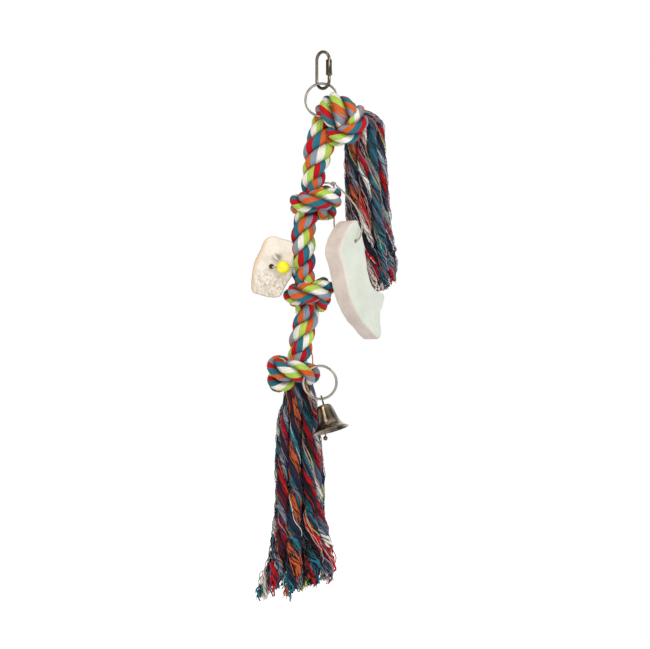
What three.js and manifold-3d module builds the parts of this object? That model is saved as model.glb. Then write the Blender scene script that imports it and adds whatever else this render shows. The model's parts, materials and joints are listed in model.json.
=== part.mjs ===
// Hanging rope toy for a cage bird: a knotted cotton rope on a quick link and a split ring,
// with two tassels, a mineral block, a bone slice with a bead, and a bell.
// Millimetres. +Z is up, +X is the viewer's right, +Y is away from the viewer.
// The origin is where the toy hangs: the inside of the quick link's top bow.
import * as THREE from 'three';
import { mergeVertices } from 'three/addons/utils/BufferGeometryUtils.js';
import Module from 'manifold-3d';

const wasm = await Module();
wasm.setup();

// Driving dimensions
const GAP = 0.3;               // space left between neighbouring pieces
const ROPE_R = 10.8;           // the rope where it runs free
const ROPE_SIDES = 12;
const SEAT_GAP = 0.4;          // between a stretch's round end and the knot it hangs from

const LINK_WIRE_R = 1.5;
const LINK_HALF = 7.4;         // half the distance between the link's legs
const LINK_LONG = 18.9;        // between the centres of its two bows
const LINK_GAP = [-12.5, -7];  // opening in the right leg
const LINK_YAW = -40;          // degrees, right leg nearer the viewer
const SLEEVE = { flats: 5.5, play: 0.4, low: -20.5, high: -6 };

const RING_R = 15.1;           // centre line of a split ring's wire
const RING_WIRE = [2.2, 1.1];  // radial and axial size of the flat wire
const RING_SPACE = 0.5;        // between the two turns
const RING_PLAY = 0.7;         // room for a ring in a rope
const RING_START = { top: 150, bell: 200 }; // degrees from the right at which each wire begins
const RING_HANG = 1.9;         // from the lowest point inside the link up to the ring's wire
const LINK_INSIDE = 2 * LINK_WIRE_R - 2 * LINK_HALF - LINK_LONG; // lowest point inside the link
const TOP_RING = [-1, 0, LINK_INSIDE + RING_HANG + RING_WIRE[0] / 2 - RING_R];
const BELL_RING = [-2.8, -18, -302.2];

const CORD_R = 0.9;
const CORD_PLAY = 0.7;         // room for a cord in a drilled hole

const BLOCK_YAW = 42;          // degrees, front face turned to the right
const BLOCK_THICK = 22;
const BLOCK_BEVEL = 1.5;
const BLOCK_AT = [31.3, -27];  // x and y of the front face's reference line
const BLOCK_HOLE = [-1.6, -173.4];

const BONE_FRONT = -5;
const BONE_THICK = 9;
const BONE_BEVEL = 1;
const BONE_HOLE = [-47.3, -196];
const BEAD = { at: [-36.5, -12, -197], radius: 6.15, play: 0.5 };

const EYE_DROP = 0.8;                   // from the ring's wire down to the centre of the bell's loop
const BELL_EYE = [-0.6, BELL_RING[1], BELL_RING[2] - RING_R - EYE_DROP];
const BELL_AXIS = [0.27, -0.17, -0.95]; // from the crown to the mouth
const BELL_HEIGHT = 24.3;
const BELL_WALL = 1;
const EYE_SHANK_R = 0.8;
const EYE_LOOP = [3.7, 0.8];            // ring and wire radius of the loop on the bell
const HOOK_LOOP = [2.1, 0.6];           // the same, of the loop inside that holds the clapper
const CLAPPER = { loop: [1.9, 0.55], play: 0.5, rod: 0.8, long: 25, ball: 2.1 };

// Rope route, chosen by eye from the photograph: [x, y, z, radius]
const HITCH = [
  [-4.5, 2, -92, ROPE_R], [-2.4, 4, -82, 10.4], [-0.5, 8, -71, 9.5], [0.5, 10.5, -61, 8], [0.5, 7, -53, 6.5],
  [1.5, -1, -50.5, 6.2], [5, -8.5, -53.5, 7.6], [10.5, -9.5, -59, 8], [15.5, -3, -63.5, 7], [15, 6, -62, 6.8],
  [11, 9.5, -54.5, 6.5], [7.5, 6, -46, 6.2], [7.5, -2, -44, 6.2], [12.5, -9, -46.5, 7.6], [19.5, -10, -52, 8],
  [26, -4.5, -58, 7.2], [27, 5, -59.5, 7], [25.5, 10, -54, 7], [28, 4, -53, 7], [31, -4, -57, 7.2],
  [31.5, -10, -66, 7.5], [25, -12, -74, 7.5], [14.5, -9, -76.5, 7.5], [8.5, -0.5, -75, 7], [11, 9.5, -69, 7],
  [20, 14.5, -60, 6], [35, 14, -52.5, 3.6],
];
const UPPER_STRETCH = [[-4.5, 2, -92, ROPE_R], [-6.5, 1, -102, ROPE_R], [-8.5, 0, -112, ROPE_R], [-9.5, 0, -120.8, 10.2]];
const MIDDLE_STRETCH = [[-17.5, 0, -158.5, ROPE_R], [-18.1, 0, -168, ROPE_R], [-18.1, 0, -190, ROPE_R],
  [-18.3, 0, -204.4, 10.2]];
const LOWER_STRETCH = [[-14.5, 0, -242.7, ROPE_R], [-17.5, 0, -252, ROPE_R], [-20.2, 0, -266, ROPE_R],
  [-21.5, 0, -277, 10.2]];
const UPPER_ROOT = [36.2, 14, -55];
const LOWER_ROOT = [-21, 2, -318];

// Half an overhand knot in rope diameters, from its middle to its end; the other half is its mirror twin
const HALF_KNOT = [
  [-1.1, 0, 0], [-1.05, 0.55, 0], [-0.75, 1, 0.1], [-0.3, 1.2, 0.2], [0.3, 1.2, 0.25], [0.75, 0.9, 0.35],
  [0.9, 0.4, 0.45], [0.8, -0.05, 0.5], [0.4, -0.38, 0.4], [0, -0.42, 0.05], [-0.22, -0.32, -0.4],
];
const UPPER_KNOT = { at: [-6, 0, -137.5], rope: 14.3, turn: 35, flip: -1 };
const MIDDLE_KNOT = { at: [-11.6, 0, -221.7], rope: 14.8, turn: 25, flip: -1 };
const LOWER_KNOT = { at: [-28.8, 0, -294.9], rope: 16.2, turn: 180, flip: 1 };

// Tassels: the round root's place and radius, then the centre line [x, y, z], and along it the outer
// bundles' circle, how much higher that circle's right side is than its left, and the bundles' own radius
const UPPER_TASSEL = {
  root: UPPER_ROOT, rootR: 6,
  line: [[36.9, 14.3, -57.6], [39.5, 18, -65], [38.3, 20.5, -82], [41.3, 26, -126], [46, 29, -180], [49.5, 30, -214]],
  circle: [4.5, 11.5, 14, 15.3, 15.5, 17], tilt: [3, 8, 3, 0, 0, 0], bundle: [1.25, 2.6, 4.5, 5, 5, 3.2], uneven: 7,
};
const LOWER_TASSEL = {
  root: LOWER_ROOT, rootR: 7.2,
  line: [[-21, 2, -321.8], [-22, 9.5, -331], [-22.3, 19, -346], [-22, 17, -411], [-21, 15, -466], [-26, 14, -500]],
  circle: [7, 11.3, 12.8, 17, 24, 31], tilt: [0, 0, 0, 0, 0, 0], bundle: [1.9, 3, 4, 5.5, 6.4, 4], uneven: 8,
};
const OUTER_BUNDLES = 9;
const INNER_BUNDLES = 3;
const INNER_SHARE = 0.33;     // the inner circle's share of the outer one
const INNER_THIN = 0.8;       // an inner bundle's share of an outer one's radius

// Cord routes: [x, y, z]
const BLOCK_LOOP = [[5.6, -1.2, -119], [-1, -10, -118], [-8.9, -12.3, -117.5], [-17.5, -8.7, -117.5],
  [-21.2, 0, -117.5], [-17.5, 8.7, -117.5], [-8.9, 12.3, -117.5], [-1, 10, -118], [5.6, 1.2, -119]];
const BLOCK_KNOT = [9.2, 0, -119.8];
const BLOCK_KNOT_R = 2.4;
const BLOCK_CORD = [[11.9, -1.3, -121], [21, -6.5, -130], [31.3, -19, -144], [35.5, -32, -160], [33.6, -33, -170],
  [30.1, -28.1, -173.4], [22.8, -19.9, -173.4], [15.4, -11.8, -173.4], [11.5, -4, -167], [10.2, 8, -153],
  [10.4, 13.6, -140], [10.6, 12.6, -127.5], [9.8, 3.6, -119.9]];
const BONE_LOOP = [[-28.4, -12.2, -197], [-18.1, -12.2, -197], [-9.5, -8.6, -197], [-5.9, 0, -197.3],
  [-9.5, 8.6, -197.6], [-18.1, 12.2, -198], [-29.4, 11.6, -198]];
const BONE_CORD = [[-29, -12, -197], [-36.5, -12, -197], [-43.5, -12, -197], [-46.6, -10, -196.4], [-47.3, -5, -196],
  [-47.3, 4, -196], [-46, 7.6, -196.4], [-39, 9.6, -197.4], [-30, 11.4, -198]];

const vec = (p) => new THREE.Vector3(p[0], p[1], p[2]);
const radians = THREE.MathUtils.degToRad;

// A smooth run of points through hand-chosen rows, with a radius at each
function run(rows, step, radius) {
  const curve = new THREE.CatmullRomCurve3(rows.map(vec), false, 'centripetal');
  curve.arcLengthDivisions = rows.length * 40;
  const count = Math.max(3, Math.round(curve.getLength() / step));
  const points = [];
  for (let i = 0; i <= count; i++) {
    const t = curve.getUtoTmapping(i / count);
    const place = t * (rows.length - 1);
    const k = Math.min(Math.floor(place), rows.length - 2);
    const r = radius ?? THREE.MathUtils.lerp(rows[k][3], rows[k + 1][3], place - k);
    points.push({ at: curve.getPoint(t), r });
  }
  return points;
}

// Closed outlines placed square to the run at each point; 'up' fixes their turn, else it is carried along
function outlines(points, section, up) {
  let side = null;
  return points.map((point, i) => {
    const before = points[Math.max(i - 1, 0)].at;
    const after = points[Math.min(i + 1, points.length - 1)].at;
    const along = after.clone().sub(before).normalize();
    if (up) side = up.clone().cross(along);
    else if (!side) side = (Math.abs(along.z) < 0.9 ? vec([0, 0, 1]) : vec([1, 0, 0])).cross(along);
    else side.addScaledVector(along, -side.dot(along));
    side.normalize();
    const rise = along.clone().cross(side);
    return section(point).map(([a, b]) => point.at.clone().addScaledVector(side, a).addScaledVector(rise, b));
  });
}

const round = (sides) => (point) => Array.from({ length: sides }, (_, k) => {
  const angle = (2 * Math.PI * k) / sides;
  return [point.r * Math.cos(angle), point.r * Math.sin(angle)];
});

const flat = ([wide, high]) => () => {
  const [a, b] = [wide / 2, high / 2];
  return [[a, -b], [a, b], [-a, b], [-a, -b]];
};

// Skin a list of outlines into one closed body
function skin(rings) {
  const sides = rings[0].length;
  const corners = rings.flat();
  const faces = [];
  for (let i = 0; i + 1 < rings.length; i++) {
    for (let j = 0; j < sides; j++) {
      const a = i * sides + j;
      const b = i * sides + ((j + 1) % sides);
      faces.push(a, b, b + sides, a, b + sides, a + sides);
    }
  }
  const last = (rings.length - 1) * sides;
  for (let j = 1; j + 1 < sides; j++) {
    faces.push(0, j + 1, j);
    faces.push(last, last + j, last + j + 1);
  }
  const geometry = new THREE.BufferGeometry();
  geometry.setAttribute('position', new THREE.Float32BufferAttribute(corners.flatMap((c) => [c.x, c.y, c.z]), 3));
  geometry.setIndex(faces);
  return geometry;
}

const tube = (rows, step, sides, radius) => skin(outlines(run(rows, step, radius), round(sides)));

// To and from solids that can be joined and cut
function solid(geometry) {
  const bare = new THREE.BufferGeometry();
  bare.setAttribute('position', geometry.getAttribute('position'));
  bare.setIndex(geometry.index);
  const merged = mergeVertices(bare, 1e-4);
  return new wasm.Manifold(new wasm.Mesh({
    numProp: 3,
    vertProperties: new Float32Array(merged.getAttribute('position').array),
    triVerts: new Uint32Array(merged.index.array),
  }));
}

const largest = (body) => body.decompose().reduce((best, piece) => (piece.volume() > best.volume() ? piece : best));

// The outside of a solid, without slivers, closed hollows and loose crumbs
function surface(body) {
  const mesh = largest(largest(body).simplify(0.06)).getMesh();
  const geometry = new THREE.BufferGeometry();
  geometry.setAttribute('position', new THREE.Float32BufferAttribute(mesh.vertProperties, 3));
  geometry.setIndex(Array.from(mesh.triVerts));
  return geometry;
}

const ball = (at, radius, across = 12, up = 8) => {
  return solid(new THREE.SphereGeometry(radius, across, up).rotateX(Math.PI / 2).translate(...at));
};

const torus = (at, big, small, around, sides) => {
  return solid(new THREE.TorusGeometry(big, small, sides, around).rotateX(Math.PI / 2).translate(...at));
};

// A rope that crosses itself: short lengths joined one by one
function crossing(rows, step, sides) {
  const rings = outlines(run(rows, step), round(sides));
  const length = 7;
  let whole = null;
  for (let i = 0; i + 1 < rings.length; i += length) {
    const piece = solid(skin(rings.slice(i, i + length + 1)));
    whole = whole ? whole.add(piece) : piece;
  }
  return whole;
}

function knotRows({ at, rope, turn, flip }) {
  const rows = [];
  const place = ([x, y, z], twin) => {
    const p = vec([x, twin * y, flip * twin * z]).multiplyScalar(rope);
    p.applyAxisAngle(vec([0, 0, 1]), radians(turn)).add(vec(at));
    return [p.x, p.y, p.z, rope / 2];
  };
  const firstTwin = flip < 0 ? 1 : -1;
  for (const p of [...HALF_KNOT].reverse()) rows.push(place(p, firstTwin));
  for (const p of HALF_KNOT.slice(1)) rows.push(place(p, -firstTwin));
  return rows;
}

// A square block whose bottom or top lies at a height, to cut a rope off level
const CUTTER = 160;
const above = (z) => solid(new THREE.BoxGeometry(CUTTER, CUTTER, CUTTER).translate(0, 0, z + CUTTER / 2));
const below = (z) => solid(new THREE.BoxGeometry(CUTTER, CUTTER, CUTTER).translate(0, 0, z - CUTTER / 2));

// A stretch of rope hangs from a round end that turns in a seat in the knot above
function stretch(rows) {
  const body = solid(tube(rows, 9, ROPE_SIDES));
  return surface(body.add(ball(rows[0], ROPE_R)).subtract(below(rows[rows.length - 1][2])));
}

// A knot goes on where a stretch ends, and has a seat for the round end of what hangs below it
function knot(spec, rope, pivot, endR, cuts = []) {
  const [x, y, z, r] = rope[rope.length - 1];
  const rows = [[x, y, z + 2, r], [x, y, z - 3, r - 1], ...knotRows(spec), [...pivot, spec.rope / 2]];
  let body = crossing(rows, 6, 8);
  body = body.subtract(ball(pivot, endR + SEAT_GAP, 14, 10));
  body = body.subtract(above(z - GAP)).subtract(below(pivot[2]));
  for (const cut of cuts) body = body.subtract(cut);
  return surface(body);
}

// A split ring: one flat wire that goes round nearly twice, with a short step from turn to turn
const RING_PITCH = RING_WIRE[1] + RING_SPACE;
function splitRing(at, startTurn, label) {
  const [from, to, stepAt, stepLong] = [30, 690, 340, 40];
  const count = 66;
  const points = [];
  for (let i = 0; i <= count; i++) {
    const angle = THREE.MathUtils.lerp(from, to, i / count);
    const climb = THREE.MathUtils.smoothstep(angle, stepAt, stepAt + stepLong) - 0.5;
    const turn = radians(angle + startTurn);
    points.push({ at: vec([at[0] + RING_R * Math.cos(turn), at[1] + RING_PITCH * climb, at[2] + RING_R * Math.sin(turn)]) });
  }
  let least = Infinity;
  points.forEach((p, i) => points.slice(i + 18).forEach((q) => {
    least = Math.min(least, Math.abs(p.at.y - q.at.y) > 0.5 ? p.at.distanceTo(q.at) : Infinity);
  }));
  console.log(`${label}: least gap between turns ${(least - RING_WIRE[1]).toFixed(2)} mm`);
  return skin(outlines(points, flat(RING_WIRE), vec([0, 1, 0])));
}

// Nodes
const group = new THREE.Group();

function node(name, geometry, finish) {
  geometry.computeVertexNormals();
  const mesh = new THREE.Mesh(geometry, new THREE.MeshStandardMaterial(finish));
  mesh.name = name;
  group.add(mesh);
}

const STEEL = { color: 0x777a80, roughness: 0.3, metalness: 1 };
const NICKEL = { color: 0x8d8b86, roughness: 0.2, metalness: 1 };
const COTTON = { color: 0xb06a4e, roughness: 0.9, metalness: 0 };
const CORD = { color: 0xe6e0d2, roughness: 0.9, metalness: 0 };
const MINERAL = { color: 0xd9d6c4, roughness: 0.95, metalness: 0 };
const BONE = { color: 0xdccbb0, roughness: 0.8, metalness: 0 };
const YELLOW = { color: 0xf0dc14, roughness: 0.3, metalness: 0 };

// Quick link: an open wire, closed by a six-sided sleeve on its right leg
function linkPoints() {
  const points = [];
  const bow = (centre, from, to) => {
    for (let i = 0; i <= 10; i++) {
      const angle = radians(THREE.MathUtils.lerp(from, to, i / 10));
      points.push([LINK_HALF * Math.cos(angle), 0, centre + LINK_HALF * Math.sin(angle)]);
    }
  };
  points.push([LINK_HALF, 0, LINK_GAP[0]]);
  const top = LINK_WIRE_R - LINK_HALF;
  bow(top - LINK_LONG, 0, -180);
  bow(top, 180, 0);
  points.push([LINK_HALF, 0, LINK_GAP[1]]);
  return points.map((p) => ({ at: vec(p), r: LINK_WIRE_R }));
}
const linkTurn = radians(LINK_YAW);
node('quick_link', skin(outlines(linkPoints(), round(8), vec([0, 1, 0]))).rotateZ(linkTurn), STEEL);

const hex = new THREE.Shape(Array.from({ length: 6 }, (_, k) => {
  const across = SLEEVE.flats / Math.sqrt(3);
  return new THREE.Vector2(across * Math.cos((k * Math.PI) / 3), across * Math.sin((k * Math.PI) / 3));
}));
hex.holes.push(new THREE.Path().absarc(0, 0, LINK_WIRE_R + SLEEVE.play, 0, 2 * Math.PI, true));
const sleeve = new THREE.ExtrudeGeometry(hex, { depth: SLEEVE.high - SLEEVE.low, bevelEnabled: false, curveSegments: 12 });
node('link_sleeve', sleeve.translate(LINK_HALF, 0, SLEEVE.low).rotateZ(linkTurn), STEEL);

node('top_ring', splitRing(TOP_RING, RING_START.top, 'top_ring'), NICKEL);

// Rope: the hitch on the ring, then stretches and knots in turn
const TUNNEL_R = Math.hypot(RING_WIRE[0], RING_WIRE[1] + RING_PITCH) / 2 + RING_PLAY;
const TUNNEL_STEPS = 32;
const topTunnel = torus(TOP_RING, RING_R, TUNNEL_R, TUNNEL_STEPS, 6);
let hitch = crossing(HITCH, 6, 8).subtract(topTunnel);
hitch = hitch.subtract(ball(UPPER_STRETCH[0], ROPE_R + SEAT_GAP, 14, 10));
hitch = hitch.subtract(ball(UPPER_ROOT, UPPER_TASSEL.rootR + SEAT_GAP, 14, 10));
node('hitch_knot', surface(hitch), COTTON);
node('upper_stretch', stretch(UPPER_STRETCH), COTTON);
node('upper_knot', knot(UPPER_KNOT, UPPER_STRETCH, MIDDLE_STRETCH[0].slice(0, 3), ROPE_R), COTTON);
node('middle_stretch', stretch(MIDDLE_STRETCH), COTTON);
node('middle_knot', knot(MIDDLE_KNOT, MIDDLE_STRETCH, LOWER_STRETCH[0].slice(0, 3), ROPE_R), COTTON);
node('lower_stretch', stretch(LOWER_STRETCH), COTTON);
const bellTunnel = torus(BELL_RING, RING_R, TUNNEL_R, TUNNEL_STEPS, 6);
node('lower_knot', knot(LOWER_KNOT, LOWER_STRETCH, LOWER_ROOT, LOWER_TASSEL.rootR, [bellTunnel]), COTTON);

// Tassels: a round root in the knot's seat, and tapered bundles that leave it in two circles
function tassel(name, { root, rootR, line, circle, tilt, bundle, uneven }) {
  node(`${name}_root`, surface(ball(root, rootR)), COTTON);
  const clear = ball(root, rootR + GAP);
  const rings = [[OUTER_BUNDLES, 1, 1], [INNER_BUNDLES, INNER_SHARE, INNER_THIN]];
  let number = 0;
  for (const [count, share, thin] of rings) {
    for (let k = 0; k < count; k++) {
      number += 1;
      const angle = (2 * Math.PI * (k + 0.5)) / count;
      const shorter = uneven * (0.5 + 0.5 * Math.sin(2.4 * number));
      const rows = line.map(([x, y, z], i) => {
        const out = circle[i] * share;
        const lift = share * tilt[i] * Math.cos(angle) + (i === line.length - 1 ? shorter : 0);
        return [x + out * Math.cos(angle), y + out * Math.sin(angle), z + lift, bundle[i] * thin];
      });
      node(`${name}_bundle_${number}`, surface(solid(tube(rows, 15, 8)).subtract(clear)), COTTON);
    }
  }
}
tassel('upper_tassel', UPPER_TASSEL);
tassel('lower_tassel', LOWER_TASSEL);

// Mineral block on its cord
const BLOCK_OUTLINE = [
  [0.5, -154.2], [9, -175.5], [13.2, -198.8], [17.6, -211.4], [23.3, -217.8], [33.9, -221.4], [34.7, -225.2],
  [31.8, -234.7], [29.6, -237.8], [29.6, -248.4], [31.1, -256.9], [27.5, -263.2], [14.7, -252.6], [6.2, -246.3],
  [-5.2, -230.5], [-10.9, -216.8], [-13.7, -206.2], [-18, -192.5], [-21.5, -184], [-19.4, -175.5], [-15.1, -167.1],
  [-8, -158.6],
];
function slab(outline, hole, thick, bevel) {
  const rows = outline.map(([a, b]) => new THREE.Vector3(a, b, 0));
  const curve = new THREE.CatmullRomCurve3(rows, true, 'centripetal');
  const count = 2 * outline.length;
  const points = Array.from({ length: count }, (_, k) => curve.getPoint(k / count));
  const shape = new THREE.Shape(points.map((p) => new THREE.Vector2(p.x, p.y)));
  const edge = { bevelThickness: bevel, bevelSize: bevel, bevelOffset: -bevel, bevelSegments: 2 };
  const body = new THREE.ExtrudeGeometry(shape, { depth: thick - 2 * bevel, ...edge }).translate(0, 0, bevel);
  const holeR = CORD_R + CORD_PLAY;
  const drill = new THREE.CylinderGeometry(holeR, holeR, 3 * thick, 10).rotateX(Math.PI / 2);
  return surface(solid(body).subtract(solid(drill.translate(hole[0], hole[1], thick / 2))));
}
// The slab is drawn flat, stood up with its front to the viewer, then turned to the right
const block = slab(BLOCK_OUTLINE, BLOCK_HOLE, BLOCK_THICK, BLOCK_BEVEL).translate(0, 0, -BLOCK_THICK);
block.rotateX(Math.PI / 2).rotateZ(radians(BLOCK_YAW)).translate(BLOCK_AT[0], BLOCK_AT[1], 0);
node('mineral_block', block, MINERAL);
node('block_cord_loop', tube(BLOCK_LOOP, 6, 5, CORD_R), CORD);
node('block_cord_knot', surface(ball(BLOCK_KNOT, BLOCK_KNOT_R, 8, 6)), CORD);
node('block_cord', tube(BLOCK_CORD, 5, 5, CORD_R), CORD);

// Bone slice, its cord round the rope, and the bead on the cord
const BONE_OUTLINE = [
  [-44.2, -168.4], [-49.2, -168.8], [-54.5, -173], [-57.5, -180.8], [-62.5, -191], [-65.2, -203], [-66.1, -212.1],
  [-64.9, -219.4], [-58, -222.2], [-48.8, -224.4], [-40.5, -224], [-37.2, -219.4], [-35.2, -207], [-30.2, -192],
  [-29.8, -174.5], [-36.8, -171.1],
];
const bone = slab(BONE_OUTLINE, BONE_HOLE, BONE_THICK, BONE_BEVEL).translate(0, 0, -BONE_THICK);
node('bone_slice', bone.rotateX(Math.PI / 2).translate(0, BONE_FRONT, 0), BONE);
node('bone_cord_loop', tube(BONE_LOOP, 6, 5, CORD_R), CORD);
node('bone_cord', tube(BONE_CORD, 4, 5, CORD_R), CORD);
const boreR = CORD_R + BEAD.play;
const bore = new THREE.CylinderGeometry(boreR, boreR, 3 * BEAD.radius, 12).rotateZ(Math.PI / 2).translate(...BEAD.at);
node('bone_bead', surface(ball(BEAD.at, BEAD.radius, 14, 10).subtract(solid(bore))), YELLOW);

// Bell on its split ring: drawn mouth down at its own origin, then leaned over
node('bell_ring', splitRing(BELL_RING, RING_START.bell, 'bell_ring'), NICKEL);
const CROWN = BELL_HEIGHT - BELL_WALL;
const BELL_OUTSIDE = [
  [17, 0], [13.4, 3.3], [10.9, 6.4], [9.5, 10.8], [8.4, CROWN - 7.3], [7.4, CROWN - 2.8], [6.2, CROWN],
  [4.6, CROWN + 0.7],
];
const BELL_INSIDE = BELL_OUTSIDE.map(([r, h]) => [r - BELL_WALL, Math.min(h, CROWN - 0.3)]).reverse();
const BELL_PROFILE = [...BELL_OUTSIDE, [EYE_SHANK_R + GAP, BELL_HEIGHT], [EYE_SHANK_R + GAP, CROWN], ...BELL_INSIDE];
const bellDown = vec(BELL_AXIS).normalize();
const lean = new THREE.Quaternion().setFromUnitVectors(vec([0, 0, -1]), bellDown);
const eyeHeight = BELL_HEIGHT + EYE_LOOP[0] + EYE_LOOP[1] + GAP;
const toWorld = new THREE.Matrix4().compose(vec(BELL_EYE), lean, vec([1, 1, 1]));
toWorld.multiply(new THREE.Matrix4().makeTranslation(0, 0, -eyeHeight));

const profile = [...BELL_PROFILE, BELL_PROFILE[0]].map(([r, h]) => new THREE.Vector2(r, h));
const shell = solid(new THREE.LatheGeometry(profile, 16).rotateX(Math.PI / 2));
node('bell_shell', surface(shell).applyMatrix4(toWorld), NICKEL);

const loop = ([big, small], height, acrossX) => {
  const ring = new THREE.TorusGeometry(big, small, 5, 12).rotateX(Math.PI / 2).rotateZ(acrossX ? 0 : Math.PI / 2);
  return solid(ring.translate(0, 0, height));
};
const rod = (radius, low, high) => {
  return solid(new THREE.CylinderGeometry(radius, radius, high - low, 8).rotateX(Math.PI / 2).translate(0, 0, (low + high) / 2));
};
const hookHeight = CROWN - HOOK_LOOP[0] - HOOK_LOOP[1];
let eye = loop(EYE_LOOP, eyeHeight, false).add(loop(HOOK_LOOP, hookHeight, true));
eye = eye.add(rod(EYE_SHANK_R, hookHeight + HOOK_LOOP[0], eyeHeight - EYE_LOOP[0]));
node('bell_eye', surface(eye).applyMatrix4(toWorld), NICKEL);

// The clapper hangs straight down from the eye's lower loop
const clapperTop = vec([0, 0, hookHeight - HOOK_LOOP[0]]).applyMatrix4(toWorld);
let clapper = loop(CLAPPER.loop, HOOK_LOOP[1] + CLAPPER.loop[1] + CLAPPER.play - CLAPPER.loop[0], false);
clapper = clapper.add(rod(CLAPPER.rod, -CLAPPER.long, -CLAPPER.loop[0])).add(ball([0, 0, -CLAPPER.long], CLAPPER.ball));
node('bell_clapper', surface(clapper).translate(clapperTop.x, clapperTop.y, clapperTop.z), NICKEL);

export default group;
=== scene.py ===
# Looks of the hanging rope toy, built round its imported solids.
# Metres. +Z is up, +X is the viewer's right, +Y is away from the viewer.
import json
import math

import bmesh
import bpy
import numpy as np
from mathutils import Matrix, Vector, noise


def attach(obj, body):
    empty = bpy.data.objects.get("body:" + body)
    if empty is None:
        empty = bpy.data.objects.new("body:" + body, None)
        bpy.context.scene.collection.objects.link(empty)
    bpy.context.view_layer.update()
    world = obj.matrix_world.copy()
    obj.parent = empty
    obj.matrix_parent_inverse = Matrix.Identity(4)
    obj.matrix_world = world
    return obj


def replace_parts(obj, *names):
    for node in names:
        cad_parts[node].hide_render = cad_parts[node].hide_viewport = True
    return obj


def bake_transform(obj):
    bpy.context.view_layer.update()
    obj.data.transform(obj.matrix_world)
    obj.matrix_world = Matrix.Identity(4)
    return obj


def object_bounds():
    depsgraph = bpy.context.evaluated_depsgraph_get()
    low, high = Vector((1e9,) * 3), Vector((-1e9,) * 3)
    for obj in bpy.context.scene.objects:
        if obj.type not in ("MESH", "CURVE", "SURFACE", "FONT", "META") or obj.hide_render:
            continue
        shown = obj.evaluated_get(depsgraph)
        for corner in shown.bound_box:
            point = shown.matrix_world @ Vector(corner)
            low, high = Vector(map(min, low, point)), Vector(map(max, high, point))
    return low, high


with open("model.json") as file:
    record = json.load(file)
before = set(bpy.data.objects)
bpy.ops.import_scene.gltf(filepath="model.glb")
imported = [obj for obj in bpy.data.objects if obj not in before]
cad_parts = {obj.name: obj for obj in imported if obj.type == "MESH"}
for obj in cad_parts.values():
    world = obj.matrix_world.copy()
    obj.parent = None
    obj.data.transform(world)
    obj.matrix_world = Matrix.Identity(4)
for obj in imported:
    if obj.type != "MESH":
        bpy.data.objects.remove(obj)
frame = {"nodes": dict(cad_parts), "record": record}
cad_low, cad_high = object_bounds()

TAU = 2 * math.pi
NOISE_SEED = 2
noise.seed_set(NOISE_SEED)  # so that the tassels' bundles drift alike at each run

# Rope route, the same points as the solids: (x, y, z, radius)
ROPE_R = 0.0108
HITCH = [
    (-0.0045, 0.002, -0.092, ROPE_R), (-0.0024, 0.004, -0.082, 0.0104), (-0.0005, 0.008, -0.071, 0.0095),
    (0.0005, 0.0105, -0.061, 0.008), (0.0005, 0.007, -0.053, 0.0065), (0.0015, -0.001, -0.0505, 0.0062),
    (0.005, -0.0085, -0.0535, 0.0076), (0.0105, -0.0095, -0.059, 0.008), (0.0155, -0.003, -0.0635, 0.007),
    (0.015, 0.006, -0.062, 0.0068), (0.011, 0.0095, -0.0545, 0.0065), (0.0075, 0.006, -0.046, 0.0062),
    (0.0075, -0.002, -0.044, 0.0062), (0.0125, -0.009, -0.0465, 0.0076), (0.0195, -0.01, -0.052, 0.008),
    (0.026, -0.0045, -0.058, 0.0072), (0.027, 0.005, -0.0595, 0.007), (0.0255, 0.01, -0.054, 0.007),
    (0.028, 0.004, -0.053, 0.007), (0.031, -0.004, -0.057, 0.0072), (0.0315, -0.01, -0.066, 0.0075),
    (0.025, -0.012, -0.074, 0.0075), (0.0145, -0.009, -0.0765, 0.0075), (0.0085, -0.0005, -0.075, 0.007),
    (0.011, 0.0095, -0.069, 0.007), (0.02, 0.0145, -0.06, 0.006), (0.035, 0.014, -0.0525, 0.0036),
]
UPPER_STRETCH = [
    (-0.0045, 0.002, -0.092, ROPE_R), (-0.0065, 0.001, -0.102, ROPE_R), (-0.0085, 0, -0.112, ROPE_R),
    (-0.0095, 0, -0.1208, 0.0102),
]
MIDDLE_STRETCH = [
    (-0.0175, 0, -0.1585, ROPE_R), (-0.0181, 0, -0.168, ROPE_R), (-0.0181, 0, -0.19, ROPE_R),
    (-0.0183, 0, -0.2044, 0.0102),
]
LOWER_STRETCH = [
    (-0.0145, 0, -0.2427, ROPE_R), (-0.0175, 0, -0.252, ROPE_R), (-0.0202, 0, -0.266, ROPE_R),
    (-0.0215, 0, -0.277, 0.0102),
]
LOOSE_YARN = [
    (-0.0125, -0.0085, -0.27), (-0.0105, -0.0096, -0.2752), (-0.0095, -0.0105, -0.281),
    (-0.0096, -0.011, -0.286), (-0.0115, -0.0105, -0.291),
]
LOOSE_YARN_R = 0.0006
LOOSE_YARN_STEP = 0.001
UPPER_ROOT = (0.0362, 0.014, -0.055)
LOWER_ROOT = (-0.021, 0.002, -0.318)

ROPE_STEP = 0.0012
ROPE_FULL = 1.03  # soft cotton swells past its solid
HITCH_FULL = 1.24
KNOT_YARN_R = 0.0095  # in a knot the rope is nearly as thick as elsewhere, but pressed into itself

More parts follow.
